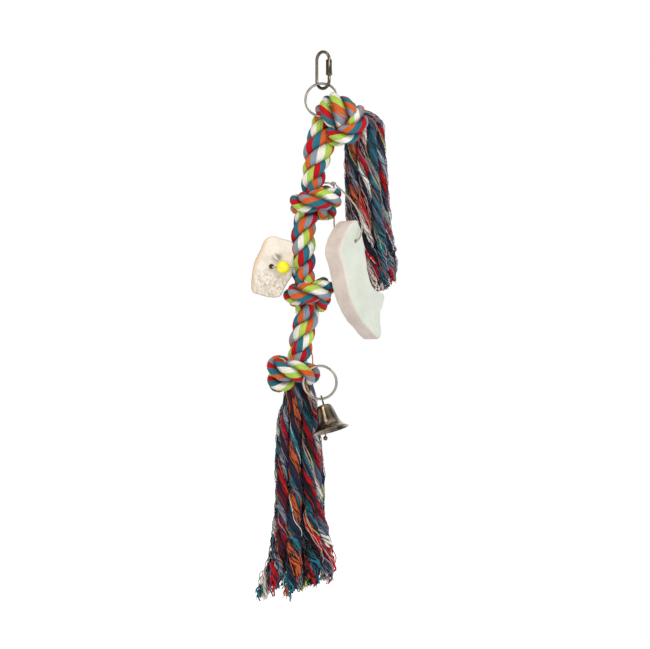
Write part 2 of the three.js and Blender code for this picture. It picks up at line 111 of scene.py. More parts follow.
# Half an overhand knot in rope diameters, from its middle to its end
HALF_KNOT = [
    (-1.1, 0, 0), (-1.05, 0.55, 0), (-0.75, 1, 0.1), (-0.3, 1.2, 0.2), (0.3, 1.2, 0.25), (0.75, 0.9, 0.35),
    (0.9, 0.4, 0.45), (0.8, -0.05, 0.5), (0.4, -0.38, 0.4), (0, -0.42, 0.05), (-0.22, -0.32, -0.4),
]
UPPER_KNOT = {"at": (-0.006, 0, -0.1375), "rope": 0.0143, "tight": 0.92, "turn": 35, "flip": -1}
MIDDLE_KNOT = {"at": (-0.0116, 0, -0.2217), "rope": 0.0148, "tight": 0.865, "turn": 25, "flip": -1}
LOWER_KNOT = {"at": (-0.0288, 0, -0.2949), "rope": 0.0162, "tight": 0.92, "turn": 180, "flip": 1}

# Tassels: where the yarn comes out of the rope and the tassel's centre line; for each point of the line,
# the circle on which the outer bundles lie, that circle's tilt and a bundle's radius; and by how much the
# bundles' lengths differ
UPPER_TASSEL = {
    "start": (0.0285, 0.0125, -0.0555),
    "line": [(0.0369, 0.0143, -0.0576), (0.0395, 0.018, -0.065), (0.0383, 0.0205, -0.082),
             (0.0413, 0.026, -0.126), (0.046, 0.029, -0.18), (0.05, 0.034, -0.222)],
    "circle": [0.0045, 0.0115, 0.014, 0.0153, 0.0155, 0.0155], "tilt": [0.001, 0.002, 0.001, 0, 0, 0.005],
    "bundle": [0.00125, 0.0026, 0.0045, 0.005, 0.005, 0.0032], "uneven": 0.007,
}
LOWER_TASSEL = {
    "start": (-0.0215, 0, -0.3),
    "line": [(-0.0212, 0.0008, -0.3125), (-0.021, 0.002, -0.3218), (-0.022, 0.0095, -0.331),
             (-0.0223, 0.019, -0.346), (-0.022, 0.017, -0.411), (-0.021, 0.015, -0.466),
             (-0.026, 0.014, -0.5)],
    "circle": [0.0098, 0.0115, 0.014, 0.0165, 0.0185, 0.024, 0.032], "tilt": [0, 0, 0, 0, 0, 0, 0.007],
    "bundle": [0.0019, 0.0019, 0.003, 0.004, 0.0055, 0.0064, 0.004], "uneven": 0.008,
}
OUTER_BUNDLES = 9
INNER_BUNDLES = 3
INNER_SHARE = 0.33  # the inner circle's share of the outer one
INNER_THIN = 0.8  # an inner bundle's share of an outer one's radius
BUNDLE_FULL = 1.12  # loose yarn fills out past its solid
BUNDLE_LEAST = 0.0052
BUNDLE_DRIFT = 0.0035  # how far a bundle strays from its line on the way down
BUNDLE_WAVES = 28  # its waves in a metre
TASSEL_STEP = 0.003

# Cord routes
CORD_D = 0.0018
CORD_STEP = 0.0008
BLOCK_LOOP = [
    (0.0056, -0.0012, -0.119), (-0.001, -0.01, -0.118), (-0.0089, -0.0123, -0.1175),
    (-0.0175, -0.0087, -0.1175), (-0.0212, 0, -0.1175), (-0.0175, 0.0087, -0.1175),
    (-0.0089, 0.0123, -0.1175), (-0.001, 0.01, -0.118), (0.0056, 0.0012, -0.119),
]
BLOCK_KNOT = (0.0092, 0, -0.1198)
CORD_BITE = 0.58  # a tie sinks into the soft rope, to this share of the solid's distance from its middle
CORD_ENTRY = 0.55  # the same, where its two ends go in
BLOCK_CORD = [
    (0.0119, -0.0013, -0.121), (0.021, -0.0065, -0.13), (0.0313, -0.019, -0.144), (0.0355, -0.032, -0.16),
    (0.0336, -0.033, -0.17), (0.0301, -0.0281, -0.1734), (0.0228, -0.0199, -0.1734),
    (0.0154, -0.0118, -0.1734), (0.0115, -0.004, -0.167), (0.0102, 0.008, -0.153), (0.0104, 0.0136, -0.14),
    (0.0106, 0.0126, -0.1275), (0.0098, 0.0036, -0.1199),
]
BONE_LOOP = [
    (-0.0284, -0.0122, -0.197), (-0.0181, -0.0122, -0.197), (-0.0095, -0.0086, -0.197), (-0.0059, 0, -0.1973),
    (-0.0095, 0.0086, -0.1976), (-0.0181, 0.0122, -0.198), (-0.0294, 0.0116, -0.198),
]
BONE_CORD = [
    (-0.029, -0.012, -0.197), (-0.0365, -0.012, -0.197), (-0.0435, -0.012, -0.197), (-0.0466, -0.01, -0.1964),
    (-0.0473, -0.005, -0.196), (-0.0473, 0.004, -0.196), (-0.046, 0.0076, -0.1964), (-0.039, 0.0096, -0.1974),
    (-0.03, 0.0114, -0.198),
]

# Hardware
GAP = 0.0003  # between two pieces that touch on the real toy
LINK_WIRE_R = 0.0015
LINK_HALF = 0.0074
LINK_LONG = 0.0189
LINK_GAP = (-0.0125, -0.007)
LINK_YAW = -40
SLEEVE = {"flats": 0.0055, "bore": 0.0019, "low": -0.0205, "high": -0.006}
RING_R = 0.0151
RING_WIRE = (0.0022, 0.0011)
RING_CORNER = 0.0004
RING_PITCH = 0.0016
RING_TURNS = (30, 690)  # degrees round the ring at which its wire begins and ends
RING_STEP = (340, 380)  # between these it crosses from the first turn to the second
RING_START = {"top": 150, "bell": 200}  # degrees from the right at which each wire is laid
TOP_RING = (-0.001, 0, -0.0428)
BELL_RING = (-0.0028, -0.018, -0.3022)
BELL_EYE = (-0.0006, -0.018, -0.3181)
BELL_AXIS = (0.27, -0.17, -0.95)
BELL_HEIGHT = 0.0243
BELL_WALL = 0.001
EYE_LOOP = (0.0037, 0.0008)
HOOK_LOOP = (0.0021, 0.0006)
CLAPPER = {"loop": (0.0019, 0.00055), "play": 0.0005, "rod": 0.0008, "long": 0.025, "ball": 0.0021}
BEAD = {"at": (-0.0365, -0.012, -0.197), "radius": 0.00615, "bore": 0.0014}
BLOCK_FRONT = (0.669, -0.743, 0)
BONE_HOLE = (-0.0473, -0.196)
BONE_HOLE_SHADE = (BONE_HOLE[0], -0.0075, BONE_HOLE[1])  # painted shade of the hole, on the cord where it goes in
BONE_SIDE = (-0.041, -0.2185)  # from here the slice runs on to the rope, up to the soft yarn
BONE_REACH = {"everywhere": 0.0007, "above": 0.0021, "waist": 0.003}  # how far it runs on
BONE_FADE = {"across": 0.006, "up": 0.011, "waist": 0.0115}  # over which distance each of these comes in
BONE_WAIST = -0.2055
BONE_EDGE = {"top": (-0.0573, -0.1803), "lean": 0.403, "left": -0.0661}  # it leans out to its left end
BONE_SPONGE = {"top": -0.197, "fade": 0.01, "ragged": 0.006}  # below this height the sawn face is spongy
BONE_FRONT = -0.004
BONE_DIRT = (-0.042, -0.005, -0.1885)
BONE_DRAWN = 0.0024  # behind its front, the hole closes on the cord within this distance

# The photograph's frame: its size in pixels, its scale and the pixel that shows the origin
PHOTO = {"wide": 650, "high": 649, "metres_per_pixel": 0.00092, "origin": (323, 53.5)}


class Wire:
    """A socket in a node tree. Arithmetic adds Math nodes, or Vector Math nodes where a vector takes part."""

    def __init__(self, net, socket):
        self.net = net
        self.socket = socket

    def other(self, name):
        return Wire(self.net, self.socket.node.outputs[name])

    def is_vector(self):
        return self.socket.type in ("VECTOR", "RGBA")

    def __add__(self, value):
        return self.net.math("ADD", self, value)

    def __sub__(self, value):
        return self.net.math("SUBTRACT", self, value)

    def __rsub__(self, value):
        return self.net.math("SUBTRACT", value, self)

    def __mul__(self, value):
        return self.net.math("MULTIPLY", self, value)

    def __truediv__(self, value):
        return self.net.math("DIVIDE", self, value)

    __radd__ = __add__
    __rmul__ = __mul__


class Net:
    """A node tree and the one way to add a node to it."""

    def __init__(self, tree):
        self.tree = tree

    def add(self, kind, settings=None, values=None, out=0):
        node = self.tree.nodes.new(kind)
        for name, value in (settings or {}).items():
            if name == "stops":
                self.set_stops(node.color_ramp, value)
            else:
                setattr(node, name, value)
        for key, value in (values or {}).items():
            socket = next((s for s in node.inputs if s.identifier == key), None) or node.inputs[key]
            if isinstance(value, Wire):
                self.tree.links.new(value.socket, socket)
            else:
                socket.default_value = value
        shown = [s for s in node.outputs if s.enabled]
        return Wire(self, node.outputs[out] if isinstance(out, str) else shown[out])

    def set_stops(self, ramp, stops):
        while len(ramp.elements) < len(stops):
            ramp.elements.new(1)
        for element, (place, colour) in zip(ramp.elements, stops):
            element.position = place
            element.color = colour

    def math(self, operation, a, b=0.0, c=0.0):
        wires = [x for x in (a, b) if isinstance(x, Wire) and x.is_vector()]
        if not wires:
            values = {"Value": a, "Value_001": b, "Value_002": c}
            return self.add("ShaderNodeMath", {"operation": operation}, values)
        fixed = any(isinstance(x, tuple) for x in (a, b))
        if operation == "MULTIPLY" and len(wires) == 1 and not fixed:
            values = {"Vector": wires[0], "Scale": b if wires[0] is a else a}
            return self.add("ShaderNodeVectorMath", {"operation": "SCALE"}, values)
        return self.add("ShaderNodeVectorMath", {"operation": operation}, {"Vector": a, "Vector_001": b})

    def smooth(self, value, low, high):
        ends = {"Value": value, "From Min": low, "From Max": high}
        return self.add("ShaderNodeMapRange", {"interpolation_type": "SMOOTHSTEP"}, ends)

    def mix(self, factor, a, b, blend="MIX"):
        values = {"Factor_Float": factor, "A_Color": a, "B_Color": b}
        return self.add("ShaderNodeMix", {"data_type": "RGBA", "blend_type": blend}, values)


# Geometry Nodes

def geometry_net(name, sizes):
    """A new geometry tree with named inputs, and a wire for each of them."""
    tree = bpy.data.node_groups.new(name, "GeometryNodeTree")
    tree.interface.new_socket("Geometry", in_out="INPUT", socket_type="NodeSocketGeometry")
    for label, kind in sizes.items():
        tree.interface.new_socket(label, in_out="INPUT", socket_type="NodeSocket" + kind)
    tree.interface.new_socket("Geometry", in_out="OUTPUT", socket_type="NodeSocketGeometry")
    net = Net(tree)
    entry = tree.nodes.new("NodeGroupInput")
    return net, {s.name: Wire(net, s) for s in entry.outputs if s.name}


def store(net, geometry, name, value, data_type="FLOAT", domain="POINT"):
    settings = {"data_type": data_type, "domain": domain}
    values = {"Geometry": geometry, "Name": name, "Value": value}
    return net.add("GeometryNodeStoreNamedAttribute", settings, values)


def stored(net, name, data_type="FLOAT"):
    return net.add("GeometryNodeInputNamedAttribute", {"data_type": data_type}, {"Name": name})


LINE_TURN = 0.618  # share of a turn between the first strands of two neighbouring lines
WANDER_WAVES = 45  # a loose yarn's waves in a metre
DARK_STRANDS = 3.0  # a tassel's dark strands are counted in threes
DARK_YARNS = 8.0  # in its other strands, the first of every eight yarns is dark


def laid_yarn_tree():
    """Lays strands round each input line and yarns round each strand; each yarn becomes a closed tube."""
    net, given = geometry_net("laid_yarn", {
        "Strands": "Int", "Yarns": "Int", "Lay": "Float", "Yarn turns": "Float", "Strand offset": "Float",
        "Yarn offset": "Float", "Yarn size": "Float", "Yarns a colour": "Float", "Colour step": "Float",
        "Thin size": "Float", "Mixed": "Float", "Darks": "Float", "Wander": "Float", "Fray": "Float",
        "Fray from": "Float", "Uneven": "Float", "From": "Float", "To": "Float", "Sides": "Int",
        "Seed": "Int", "Material": "Material",
    })
    line = net.add("GeometryNodeMeshToCurve", values={"Mesh": given["Geometry"]})
    along = net.add("GeometryNodeSplineParameter", out="Length")
    line = store(net, line, "run", along)
    line = store(net, line, "share", along.other("Factor"))
    line = store(net, line, "line_number", net.add("GeometryNodeInputIndex"), domain="CURVE")
    size = stored(net, "size")
    run = stored(net, "run")
    share = stored(net, "share")
    number = stored(net, "line_number")
    tangent = net.add("GeometryNodeInputTangent")
    normal = net.add("GeometryNodeInputNormal")

    # Strands: helices round the line
    strands = net.add("GeometryNodeDuplicateElements", {"domain": "SPLINE"},
                      {"Geometry": line, "Amount": given["Strands"]})
    strand = strands.other("Duplicate Index")
    strands = store(net, strands, "strand", strand, domain="CURVE")
    angle = (run / given["Lay"] + stored(net, "strand") / given["Strands"] + number * LINE_TURN) * TAU
    side = net.math("CROSS_PRODUCT", tangent, normal)
    outward = normal * net.math("COSINE", angle) + side * net.math("SINE", angle)
    strands = store(net, strands, "outward", outward, "FLOAT_VECTOR")
    out = stored(net, "outward", "FLOAT_VECTOR")
    strands = net.add("GeometryNodeSetPosition",
                      values={"Geometry": strands, "Offset": out * (size * given["Strand offset"])})

    # Yarns: helices of the other hand round each strand
    yarns = net.add("GeometryNodeDuplicateElements", {"domain": "SPLINE"},
                    {"Geometry": strands, "Amount": given["Yarns"]})
    yarns = store(net, yarns, "yarn", yarns.other("Duplicate Index"), domain="CURVE")
    strand = stored(net, "strand")
    yarn = stored(net, "yarn")
    turn = (run / given["Lay"] * given["Yarn turns"] + yarn / given["Yarns"]) * TAU
    across = net.math("CROSS_PRODUCT", tangent, out)
    # crest: how far a yarn faces out of its strand, kept for the painted shade in the grooves; tassel yarns
    # keep it at one and get none
    crest = net.math("COSINE", turn)
    around = out * crest + across * net.math("SINE", turn)
    yarns = store(net, yarns, "crest", net.math("MAXIMUM", crest, given["Mixed"]))
    yarns = net.add("GeometryNodeSetPosition",
                    values={"Geometry": yarns, "Offset": around * (size * given["Yarn offset"])})

    # Loose ends: every yarn wanders in its own part of the noise, more so towards its cut end
    own = number * 7.31 + strand * 3.17 + yarn * 1.73 + given["Seed"] * 0.37
    place = net.add("ShaderNodeCombineXYZ", values={"X": own, "Y": run * WANDER_WAVES, "Z": own * 0.7})
    wander = net.add("ShaderNodeTexNoise", values={"Vector": place, "Scale": 1.0, "Detail": 1.0}, out="Color")
    loose = net.smooth(share, given["Fray from"], 1.0)
    amount = given["Wander"] * net.smooth(share, 0.0, 0.2) + given["Fray"] * loose
    yarns = net.add("GeometryNodeSetPosition",
                    values={"Geometry": yarns, "Offset": (wander - (0.5, 0.5, 0.5)) * amount})

    # Colours: a rope takes them in turn; a tassel mixes them, with dark yarn in some of every three strands
    # and one dark yarn in each of the others
    key = number * 41 + strand
    odd = net.math("LESS_THAN", net.math("MODULO", strand, DARK_STRANDS), given["Darks"])
    odd = net.math("MAXIMUM", odd, net.math("LESS_THAN", net.math("MODULO", yarn, DARK_YARNS), 1.0))

    def pick(first, last):
        values = {"Min_002": first, "Max_002": last, "ID": key, "Seed": given["Seed"]}
        return net.add("FunctionNodeRandomValue", {"data_type": "INT"}, values)

    bright = pick(0, len(BRIGHTS) - 1)
    dark = pick(len(BRIGHTS), len(YARN_COLOURS) - 1)
    mixed = bright * (1 - odd) + dark * odd
    round_of_colours = given["Yarns a colour"] * len(BRIGHTS)
    turned = net.math("MODULO", yarn + strand * given["Colour step"], round_of_colours)
    in_turn = len(BRIGHTS) - 1 - net.math("FLOOR", turned / given["Yarns a colour"])
    tint = (in_turn * (1 - given["Mixed"]) + mixed * given["Mixed"] + 0.5) / len(YARN_COLOURS)
    yarns = store(net, yarns, "tint", tint)

    # Only the asked stretch is kept, and loose ends are cut unevenly
    cut = net.add("FunctionNodeRandomValue", {"data_type": "FLOAT"},
                  {"Min_001": 0.0, "Max_001": 1.0, "ID": key * 11 + yarn, "Seed": given["Seed"]})
    early = net.math("LESS_THAN", run, given["From"])
    late = net.math("GREATER_THAN", run, given["To"])
    outside = early + late + net.math("GREATER_THAN", share, 1 - cut * given["Uneven"])
    yarns = net.add("GeometryNodeDeleteGeometry", {"domain": "POINT"},
                    {"Geometry": yarns, "Selection": outside})

    ring = net.add("GeometryNodeCurvePrimitiveCircle", values={"Resolution": given["Sides"], "Radius": 1.0})
    ring = store(net, ring, "ring", net.add("GeometryNodeInputPosition"), "FLOAT_VECTOR")
    thick = size * given["Yarn size"] * (1 - odd * given["Mixed"] * (1 - given["Thin size"]))
    skin = net.add("GeometryNodeCurveToMesh",
                   values={"Curve": yarns, "Profile Curve": ring, "Scale": thick, "Fill Caps": True})
    for helper in ("share", "line_number", "strand", "yarn", "outward", "size"):
        skin = net.add("GeometryNodeRemoveAttribute", values={"Geometry": skin, "Name": helper})
    skin = net.add("GeometryNodeSetShadeSmooth", values={"Geometry": skin})
    skin = net.add("GeometryNodeRealizeInstances", values={"Geometry": skin})
    skin = net.add("GeometryNodeSetMaterial", values={"Geometry": skin, "Material": given["Material"]})
    leave = net.tree.nodes.new("NodeGroupOutput")
    net.tree.links.new(skin.socket, leave.inputs["Geometry"])
    return net.tree


def lines_mesh(lines):
    """Open lines of (x, y, z, radius) as a mesh of edges, with the radius in its own attribute."""
    points = [p for line in lines for p in line]
    edges = []
    first = 0
    for line in lines:
        edges += [(first + i, first + i + 1) for i in range(len(line) - 1)]
        first += len(line)
    mesh = bpy.data.meshes.new("lines")
    mesh.from_pydata([p[:3] for p in points], edges, [])
    mesh.attributes.new("size", "FLOAT", "POINT").data.foreach_set("value", [p[3] for p in points])
    return mesh


def grown(name, mesh, tree, values):
    """The plain mesh that a geometry tree makes from a mesh, as a new object."""
    host = bpy.data.objects.new("host", mesh)
    bpy.context.scene.collection.objects.link(host)
    modifier = host.modifiers.new("grow", "NODES")
    modifier.node_group = tree
    sockets = {i.name: i.identifier for i in tree.interface.items_tree if i.in_out == "INPUT"}
    for label, value in values.items():
        modifier[sockets[label]] = value
    return plain(host, name)


def plain(host, name):
    """The host's evaluated mesh as an object of its own; the host is removed."""
    evaluated = host.evaluated_get(bpy.context.evaluated_depsgraph_get())
    mesh = bpy.data.meshes.new_from_object(evaluated)
    bpy.data.objects.remove(host)
    mesh.name = name
    obj = bpy.data.objects.new(name, mesh)
    bpy.context.scene.collection.objects.link(obj)
    return obj


# Materials

def ink(code):
    """A linear colour from a six-digit screen colour."""
    parts = [((code >> shift) & 255) / 255 for shift in (16, 8, 0)]
    return (*[c / 12.92 if c <= 0.04045 else ((c + 0.055) / 1.055) ** 2.4 for c in parts], 1.0)


RED, TEAL, ORANGE = 0xB90C18, 0x286F82, 0xD06028
SLATE, WHITE, LIME = 0x8795A4, 0xE9E5DC, 0xACCC57
BLACK, NAVY, PLUM, PINK, STEEL = 0x1A181D, 0x232A42, 0x46202F, 0xC9A2A2, 0x596A82
BRIGHTS = [RED, TEAL, ORANGE, SLATE, WHITE, LIME]
DARKS = [BLACK, NAVY, PLUM, BLACK, NAVY, STEEL, PINK]
YARN_COLOURS = BRIGHTS + DARKS
CORD_TONE = 0xCDC4B0
# dark brown painted shade of the bone's hole, on the bone and on its cord
HOLE_SHADE = 0x2A1712
DARK_NICKEL = (0x453E35, 0x857A6A)
RING_NICKEL = (0x8A857B, 0xBDB6A9)
LINK_STEEL = (0x40382F, 0x75695B)
# painted dark reflection along the flat wire's rounded edges
EDGE_REFLECTION = 0x241E18
# edge and front tones differ partly in the mineral's own colour and partly as painted warm light on the left
# side
MINERAL = {"edge": (0xCBC1BA, 0xBDB1A9), "front": (0xC3C8BE, 0xBAC0B5), "fresh": 0xE6E1DC, "pit": 0xA08E83}
BONE = {"cream": (0xD8D2C8, 0xCAC2B6), "tan": 0xC39C70, "sawn": 0xA5835F, "sponge": 0x9A9688, "pit": 0x6E6456,
        "dirt": 0x4E463D}
BEAD_YELLOW = (0xE6E00A, 0xDACC06)


def material(name):
    """A new material, its net and its main shader node."""
    made = bpy.data.materials.new(name)
    made.use_nodes = True
    return made, Net(made.node_tree), made.node_tree.nodes["Principled BSDF"]


def feed(net, shader, **links):
    """Links wires, or sets plain values, on the main shader by socket name."""
    for label, value in links.items():
        socket = shader.inputs[label.replace("_", " ")]
        if isinstance(value, Wire):
            net.tree.links.new(value.socket, socket)
        else:
            socket.default_value = value


def bump(net, height, strength, distance):
    return net.add("ShaderNodeBump", values={"Height": height, "Strength": strength, "Distance": distance})


def attribute(net, name, out):
    return net.add("ShaderNodeAttribute", {"attribute_name": name}, out=out)


def object_noise(net, scale, detail=3.0, rough=0.55):
    place = net.add("ShaderNodeTexCoord", out="Object")
    return net.add("ShaderNodeTexNoise",
                   values={"Vector": place, "Scale": scale, "Detail": detail, "Roughness": rough})


def spun_cotton(name, colour=None, hole_shade=None):
    """Soft spun yarn: fibres run along it, lighter and darker, in its own colour, with painted shade in the
    grooves where yarns turn inward, and painted shade of a hole round a given point.
    """
    made, net, shader = material(name)
    ring = attribute(net, "ring", "Vector")
    run = attribute(net, "run", "Fac")
    tint = attribute(net, "tint", "Fac")
    steps = len(YARN_COLOURS)
    stops = [(i / steps, ink(code)) for i, code in enumerate(YARN_COLOURS)]
    base = ink(colour) if colour else net.add("ShaderNodeValToRGB", {"stops": stops}, {"Fac": tint})
    if not colour:
        base.socket.node.color_ramp.interpolation = "CONSTANT"
    # painted shade of the bone's hole: the cord turns dark brown round the given point, where it goes into
    # the hole
    if hole_shade:
        place = net.add("ShaderNodeTexCoord", out="Object")
        base = net.mix(near(net, place, hole_shade, 0.0022, 0.004), base, ink(HOLE_SHADE))
    lift = net.add("ShaderNodeCombineXYZ", values={"Z": run * 90 + tint * 57})
    fibre = net.add("ShaderNodeTexNoise", values={"Vector": ring * 2.4 + lift, "Scale": 1.6, "Detail": 4.0})
    patch = object_noise(net, 160)
    shade = net.add("ShaderNodeMapRange", values={"Value": fibre * 0.75 + patch * 0.25, "From Min": 0.3,
                                                  "From Max": 0.7, "To Min": 0.58, "To Max": 1.06})
    # painted shade: a yarn darkens to 0.4 of its colour where it turns inward into the grooves between
    # strands
    shade = shade * (net.smooth(attribute(net, "crest", "Fac"), -0.1, 0.75) * 0.6 + 0.4)
    grey = net.add("ShaderNodeCombineXYZ", values={"X": shade, "Y": shade, "Z": shade})
    feed(net, shader, Base_Color=net.mix(1.0, base, grey, "MULTIPLY"), Roughness=0.88,
         Normal=bump(net, fibre, 0.55, 0.0006), Sheen_Weight=0.03, Sheen_Roughness=0.5,
         Specular_IOR_Level=0.2)
    return made


def polished_nickel(name, tones, rough):
    """Plated metal with faint smears, and painted dark reflections along the edges of a flat wire."""
    made, net, shader = material(name)
    smear = object_noise(net, 70, 2.0)
    colour = net.mix(net.smooth(smear, 0.3, 0.7), *map(ink, tones))
    # painted reflection: dark along the wire's edges, where the piece marks them
    colour = net.mix(net.smooth(attribute(net, "edge", "Fac"), 0.64, 0.82) * 0.9, colour, ink(EDGE_REFLECTION))
    feed(net, shader, Base_Color=colour, Metallic=1.0, Roughness=smear * 0.1 + rough)
    return made


def chalky_mineral():
    """Pressed mineral: pale and cool on its broad faces, warmer on its edge, partly its own tone and partly
    painted warm light, with fine pores.
    """
    made, net, shader = material("chalky_mineral")
    face = attribute(net, "broad", "Fac")
    grain = object_noise(net, 900, 4.0, 0.7)
    cloud = object_noise(net, 60, 4.0)
    pores = net.add("ShaderNodeTexVoronoi", {"feature": "F1"},
                    {"Vector": net.add("ShaderNodeTexCoord", out="Object"), "Scale": 420.0}, out="Distance")
    pit = 1 - net.smooth(pores, 0.05, 0.28)
    # partly painted light: the edge's warm tint, and its brightness against the broad faces, give the warm
    # light falling on the left side
    edge = net.mix(net.smooth(cloud, 0.35, 0.7), *map(ink, MINERAL["edge"]))
    front = net.mix(net.smooth(cloud, 0.3, 0.75), *map(ink, MINERAL["front"]))
    edge = net.mix(net.smooth(grain, 0.52, 0.75) * 0.6, edge, ink(MINERAL["fresh"]))
    colour = net.mix(face, edge, front)
    worn = pit * (0.6 - face * 0.35) + net.smooth(grain, 0.55, 0.8) * 0.1
    colour = net.mix(worn, colour, ink(MINERAL["pit"]))
    feed(net, shader, Base_Color=colour, Roughness=0.95, Normal=bump(net, grain - pit * 0.8, 0.5, 0.0005))
    return made


def near(net, place, centre, inside, outside):
    """One within a distance of a point, fading to nothing further out."""
    ends = {"Vector": place, "Vector_001": centre}
    apart = net.add("ShaderNodeVectorMath", {"operation": "DISTANCE"}, ends, "Value")
    return 1 - net.smooth(apart, inside, outside)


def dry_bone():
    """Sawn bone: cream, tan at its edges, grey and spongy below, with dirt streaks above its bead and painted
    shade in its hole.
    """
    made, net, shader = material("dry_bone")
    face = attribute(net, "broad", "Fac")
    spongy = attribute(net, "spongy", "Fac")
    place = net.add("ShaderNodeTexCoord", out="Object")
    across = net.add("ShaderNodeSeparateXYZ", values={"Vector": place}, out="X")
    height = across.other("Z")
    cloud = object_noise(net, 110, 5.0)
    grain = object_noise(net, 1300, 3.0, 0.7)
    pits = net.smooth(object_noise(net, 700, 2.0), 0.6, 0.72) * spongy
    top_x, top_z = BONE_EDGE["top"]
    left = net.math("MAXIMUM", (height - top_z) * BONE_EDGE["lean"] + top_x, BONE_EDGE["left"])
    tan = 1 - net.smooth(across - left + cloud * 0.005, 0.003, 0.0075)
    aside = across - BEAD["at"][0]
    above = height - BEAD["at"][2]
    around = net.math("ARCTAN2", above, aside)
    fan = net.add("ShaderNodeCombineXYZ", values={"X": around * 7, "Y": above * 150})
    strokes = net.add("ShaderNodeTexNoise", values={"Vector": fan, "Scale": 1.0, "Detail": 4.0})
    dirt = near(net, place, BONE_DIRT, 0.0015, 0.0072) * net.smooth(strokes, 0.38, 0.58)
    smudge = net.add("ShaderNodeTexNoise",
                     values={"Vector": place * (420, 200, 260), "Scale": 1.0, "Detail": 5.0})
    # painted shade: a dark brown ring where the hole opens round the cord
    hole = near(net, place * (1, 0, 1), (BONE_HOLE[0], 0, BONE_HOLE[1]), 0.0016, 0.0032)
    cream = net.mix(net.smooth(cloud, 0.35, 0.65), *map(ink, BONE["cream"]))
    colour = net.mix(tan * 0.6, cream, ink(BONE["tan"]))
    colour = net.mix((1 - face) * 0.8, colour, ink(BONE["sawn"]))
    colour = net.mix(spongy * net.smooth(smudge, 0.4, 0.68) * 0.75, colour, ink(BONE["sponge"]))
    colour = net.mix(pits * 0.6, colour, ink(BONE["pit"]))
    colour = net.mix(dirt * 0.8, colour, ink(BONE["dirt"]))
    colour = net.mix(hole, colour, ink(HOLE_SHADE))
    feed(net, shader, Base_Color=colour, Roughness=0.8, Normal=bump(net, grain * 0.5 - pits, 0.6, 0.0006))
    return made


def yellow_bead():
    """Dyed and lacquered wood."""
    made, net, shader = material("yellow_bead")
    cloud = object_noise(net, 220, 4.0)
    colour = net.mix(net.smooth(cloud, 0.3, 0.7), *map(ink, BEAD_YELLOW))
    feed(net, shader, Base_Color=colour, Roughness=cloud * 0.1 + 0.28, Coat_Weight=0.4,
         Normal=bump(net, cloud, 0.08, 0.0004))
    return made


# Meshes

def share_of(value, whole):
    """A value as a share of a whole, kept between nothing and one."""
    return min(1, max(0, value / whole))


class Form:
    """Collects skinned rings of points and makes one mesh of them."""

    def __init__(self):
        self.points = []
        self.faces = []

    def skin(self, rings, loop=False):
        sides = len(rings[0])
        first = len(self.points)
        for ring in rings:
            self.points += [tuple(p) for p in ring]
        count = len(rings)
        for i in range(count if loop else count - 1):
            low = first + i * sides
            high = first + (i + 1) % count * sides
            for j in range(sides):
                k = (j + 1) % sides
                self.faces.append((low + j, low + k, high + k, high + j))
        if not loop:
            self.faces.append(tuple(reversed(range(first, first + sides))))
            self.faces.append(tuple(range(first + (count - 1) * sides, first + count * sides)))
        return self

    def object(self, name, finish, matrix=None, sharp=40):
        mesh = bpy.data.meshes.new(name)
        mesh.from_pydata(self.points, [], self.faces)
        net = bmesh.new()
        net.from_mesh(mesh)
        bmesh.ops.remove_doubles(net, verts=net.verts, dist=1e-6)
        bmesh.ops.recalc_face_normals(net, faces=net.faces)
        net.to_mesh(mesh)
        net.free()
        if matrix is not None:
            mesh.transform(matrix)
        mesh.shade_smooth()
        mesh.set_sharp_from_angle(angle=math.radians(sharp))
        mesh.materials.append(finish)
        obj = bpy.data.objects.new(name, mesh)
        bpy.context.scene.collection.objects.link(obj)
        return obj


def swept(path, section, up=None, loop=False):
    """Copies of a flat section (pairs) square to a path; 'up' fixes their turn, else it is carried along."""
    path = [Vector(p) for p in path]
    rings = []
    side = None
    for i, point in enumerate(path):
        before = path[i - 1] if i or loop else point
        after = path[(i + 1) % len(path)] if i + 1 < len(path) or loop else point
        ahead = (after - before).normalized()
        if up is not None:
            side = Vector(up).cross(ahead).normalized()
        elif side is None:
            side = ahead.orthogonal().normalized()
        else:
            side = (side - ahead * side.dot(ahead)).normalized()
        rise = ahead.cross(side)
        pairs = section(i) if callable(section) else section
        rings.append([point + side * a + rise * b for a, b in pairs])
    return rings


def disc(radius, sides=16):
    """A circle of pairs."""
    return [(radius * math.cos(TAU * k / sides), radius * math.sin(TAU * k / sides)) for k in range(sides)]


def rounded_bar(wide, high, corner, steps=3):
    """A rectangle with round corners, as pairs."""
    pairs = []
    for quarter, (sx, sy) in enumerate(((1, 1), (-1, 1), (-1, -1), (1, -1))):
        for k in range(steps + 1):
            angle = TAU / 4 * (quarter + k / steps)
            pairs.append((sx * (wide / 2 - corner) + corner * math.cos(angle),
                          sy * (high / 2 - corner) + corner * math.sin(angle)))
    return pairs


def lathe(profile, steps=64):
    """Rings of a profile of (radius, height) turned about the Z axis."""
    return [[(x, y, h) for x, y in disc(r, steps)] for r, h in profile]


def circle(radius, height, across_x, steps=32):
    """A standing circle of points about a centre on the Z axis."""
    turn = [(a, height + b) for a, b in disc(radius, steps)]
    return [(a, 0, b) if across_x else (0, a, b) for a, b in turn]


